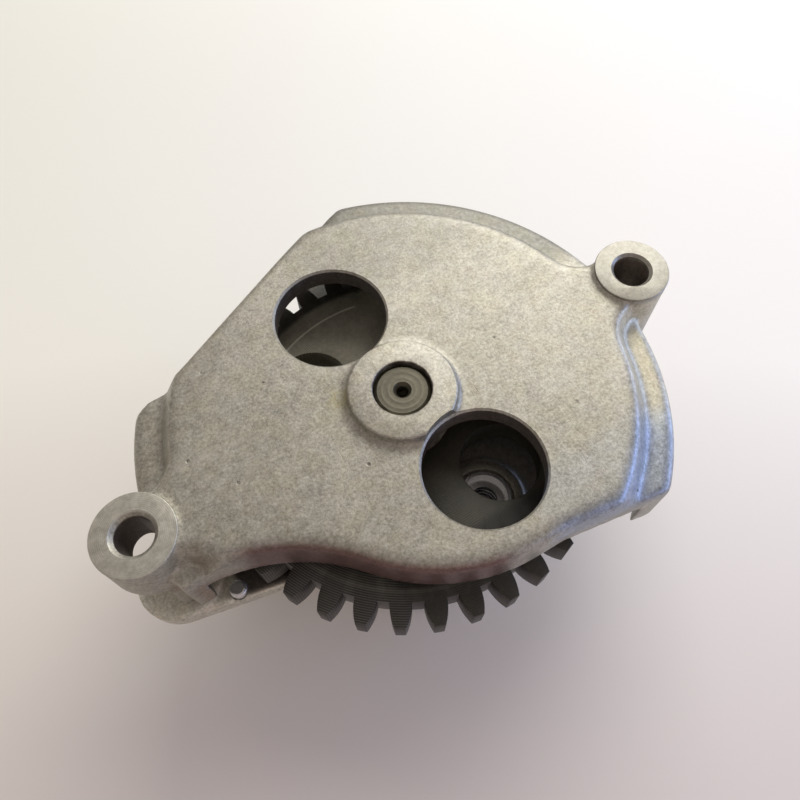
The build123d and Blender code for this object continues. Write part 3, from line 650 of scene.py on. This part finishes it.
# the shaft's centre hole, narrower at its mouth: reach and level from the shaft's end
shaftSkin = {
    "plug": [(2.4 * mm, -2.0 * mm), (2.4 * mm, 0.01 * mm)],
    "hole": [(1.05 * mm, -3.0 * mm), (1.05 * mm, -0.75 * mm), (1.55 * mm, 0.01 * mm), (1.55 * mm, mm)],
    "smooth": 30,
}
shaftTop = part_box("pump_shaft")[1].z
shaft = workCopy("pump_shaft", "pumpShaft")
for toolName, operation in (("plug", "UNION"), ("hole", "DIFFERENCE")):
    rings = [(reach, shaftTop + level) for reach, level in shaftSkin[toolName]]
    combine(shaft, turnedTool(0.0, 0.0, rings), operation)
settle(shaft, "pump_shaft", "drive_shaft", shaftSkin["smooth"])
print("shaft:", len(shaft.data.polygons), "faces")

# the relief spring, squeezed between the plunger and the cup
springSkin = {"smooth": 40}
spring = workCopy("relief_spring", "reliefSpring")
bpy.ops.object.shade_smooth_by_angle(angle=math.radians(springSkin["smooth"]))
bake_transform(spring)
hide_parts("relief_spring")
print("spring:", len(spring.data.polygons), "faces")

# the photograph's viewpoint, measured from the shaft axis and the plate's top
viewpoint = {
    "place": (-27.07 * mm, -48.93 * mm, plateTop + 110.0 * mm),
    "right": (0.86392, -0.50340, -0.01514),
    "up": (0.45678, 0.77055, 0.44453),
    "back": (-0.21212, -0.39095, 0.89564),
    "lens": 32.90,
    "sensor": 36.0,
}
bpy.ops.object.camera_add(location=viewpoint["place"])
camera = bpy.context.active_object
facing = Matrix((viewpoint["right"], viewpoint["up"], viewpoint["back"])).transposed()
camera.rotation_euler = facing.to_euler()
camera.data.lens = viewpoint["lens"]
camera.data.sensor_width = viewpoint["sensor"]
camera.data.clip_start = mm
bpy.context.scene.camera = camera

# soft lights: where each stands, its size, power and colour
lights = {
    "windowLight": ((0.375, 0.335, 0.405), (0.55, 0.55), 3.55, (1.0, 0.985, 0.95)),
    "coolSideLight": ((0.47, -0.20, 0.085), (0.85, 0.16), 1.9, (0.36, 0.52, 1.0)),
    "frontBounce": ((-0.12, -0.55, 0.20), (0.35, 0.35), 0.10, (1.0, 0.50, 0.45)),
}
litPoint = Vector((0.0, 0.0, plateTop * 0.5))
for lightName, (place, size, power, colour) in lights.items():
    bpy.ops.object.light_add(type="AREA", location=place)
    lamp = bpy.context.active_object
    lamp.name = lightName
    lamp.data.shape = "RECTANGLE"
    lamp.data.size, lamp.data.size_y = size
    lamp.data.energy = power
    lamp.data.color = colour
    aim = litPoint - lamp.location
    lamp.rotation_euler = aim.to_track_quat("-Z", "Y").to_euler()

roomLook = {"colour": (0.98, 0.88, 0.85), "strength": 0.45}
room = bpy.data.worlds.new("paleRoom")
room.use_nodes = True
roomLight = room.node_tree.nodes["Background"].inputs
roomLight["Color"].default_value = (*roomLook["colour"], 1.0)
roomLight["Strength"].default_value = roomLook["strength"]
bpy.context.scene.world = room
bpy.context.scene.view_settings.view_transform = "Standard"

floorLook = {
    "size": 4.0,
    "gap": 0.02 * mm,  # below the part
    "wash": (6.0, 2.0, 0.5),
    "waver": 0.04,
    "across": ((0.864, -0.503), -0.16, 0.10),  # a fade: direction, from, to
    "acrossTones": [(0.0, (0.95, 0.95, 0.86)), (1.0, (0.93, 0.92, 0.89))],
    "along": ((0.51, 0.86), -0.10, 0.16),
    # painted shadow: darker and pinker towards the front, and a little darker far behind
    "paintedShadeTones": [(0.0, (0.78, 0.72, 0.73)), (0.5, (1.0, 1.0, 1.0)), (1.0, (0.90, 0.91, 0.91))],
}


def paleFloor(look):
    f = Finish("paleFloor")
    wash = f.noise(*look["wash"])

    def fade(direction, start, end):
        x, y = direction
        way = f.axis("X") * x + f.axis("Y") * y + (wash - 0.5) * look["waver"]
        return f.ease(way, start, end)

    colour = f.ramp(fade(*look["across"]), look["acrossTones"])
    shade = f.ramp(fade(*look["along"]), look["paintedShadeTones"])
    return f.surface(f.tint(1.0, colour, shade, "MULTIPLY"), wash * 0.1 + 0.6)


bpy.ops.mesh.primitive_plane_add(size=floorLook["size"], location=(0.0, 0.0, cadLow.z - floorLook["gap"]))
floor = bpy.context.active_object
floor.name = "paleFloorSheet"
floor.data.materials.append(paleFloor(floorLook))
print("camera, lights and floor placed")
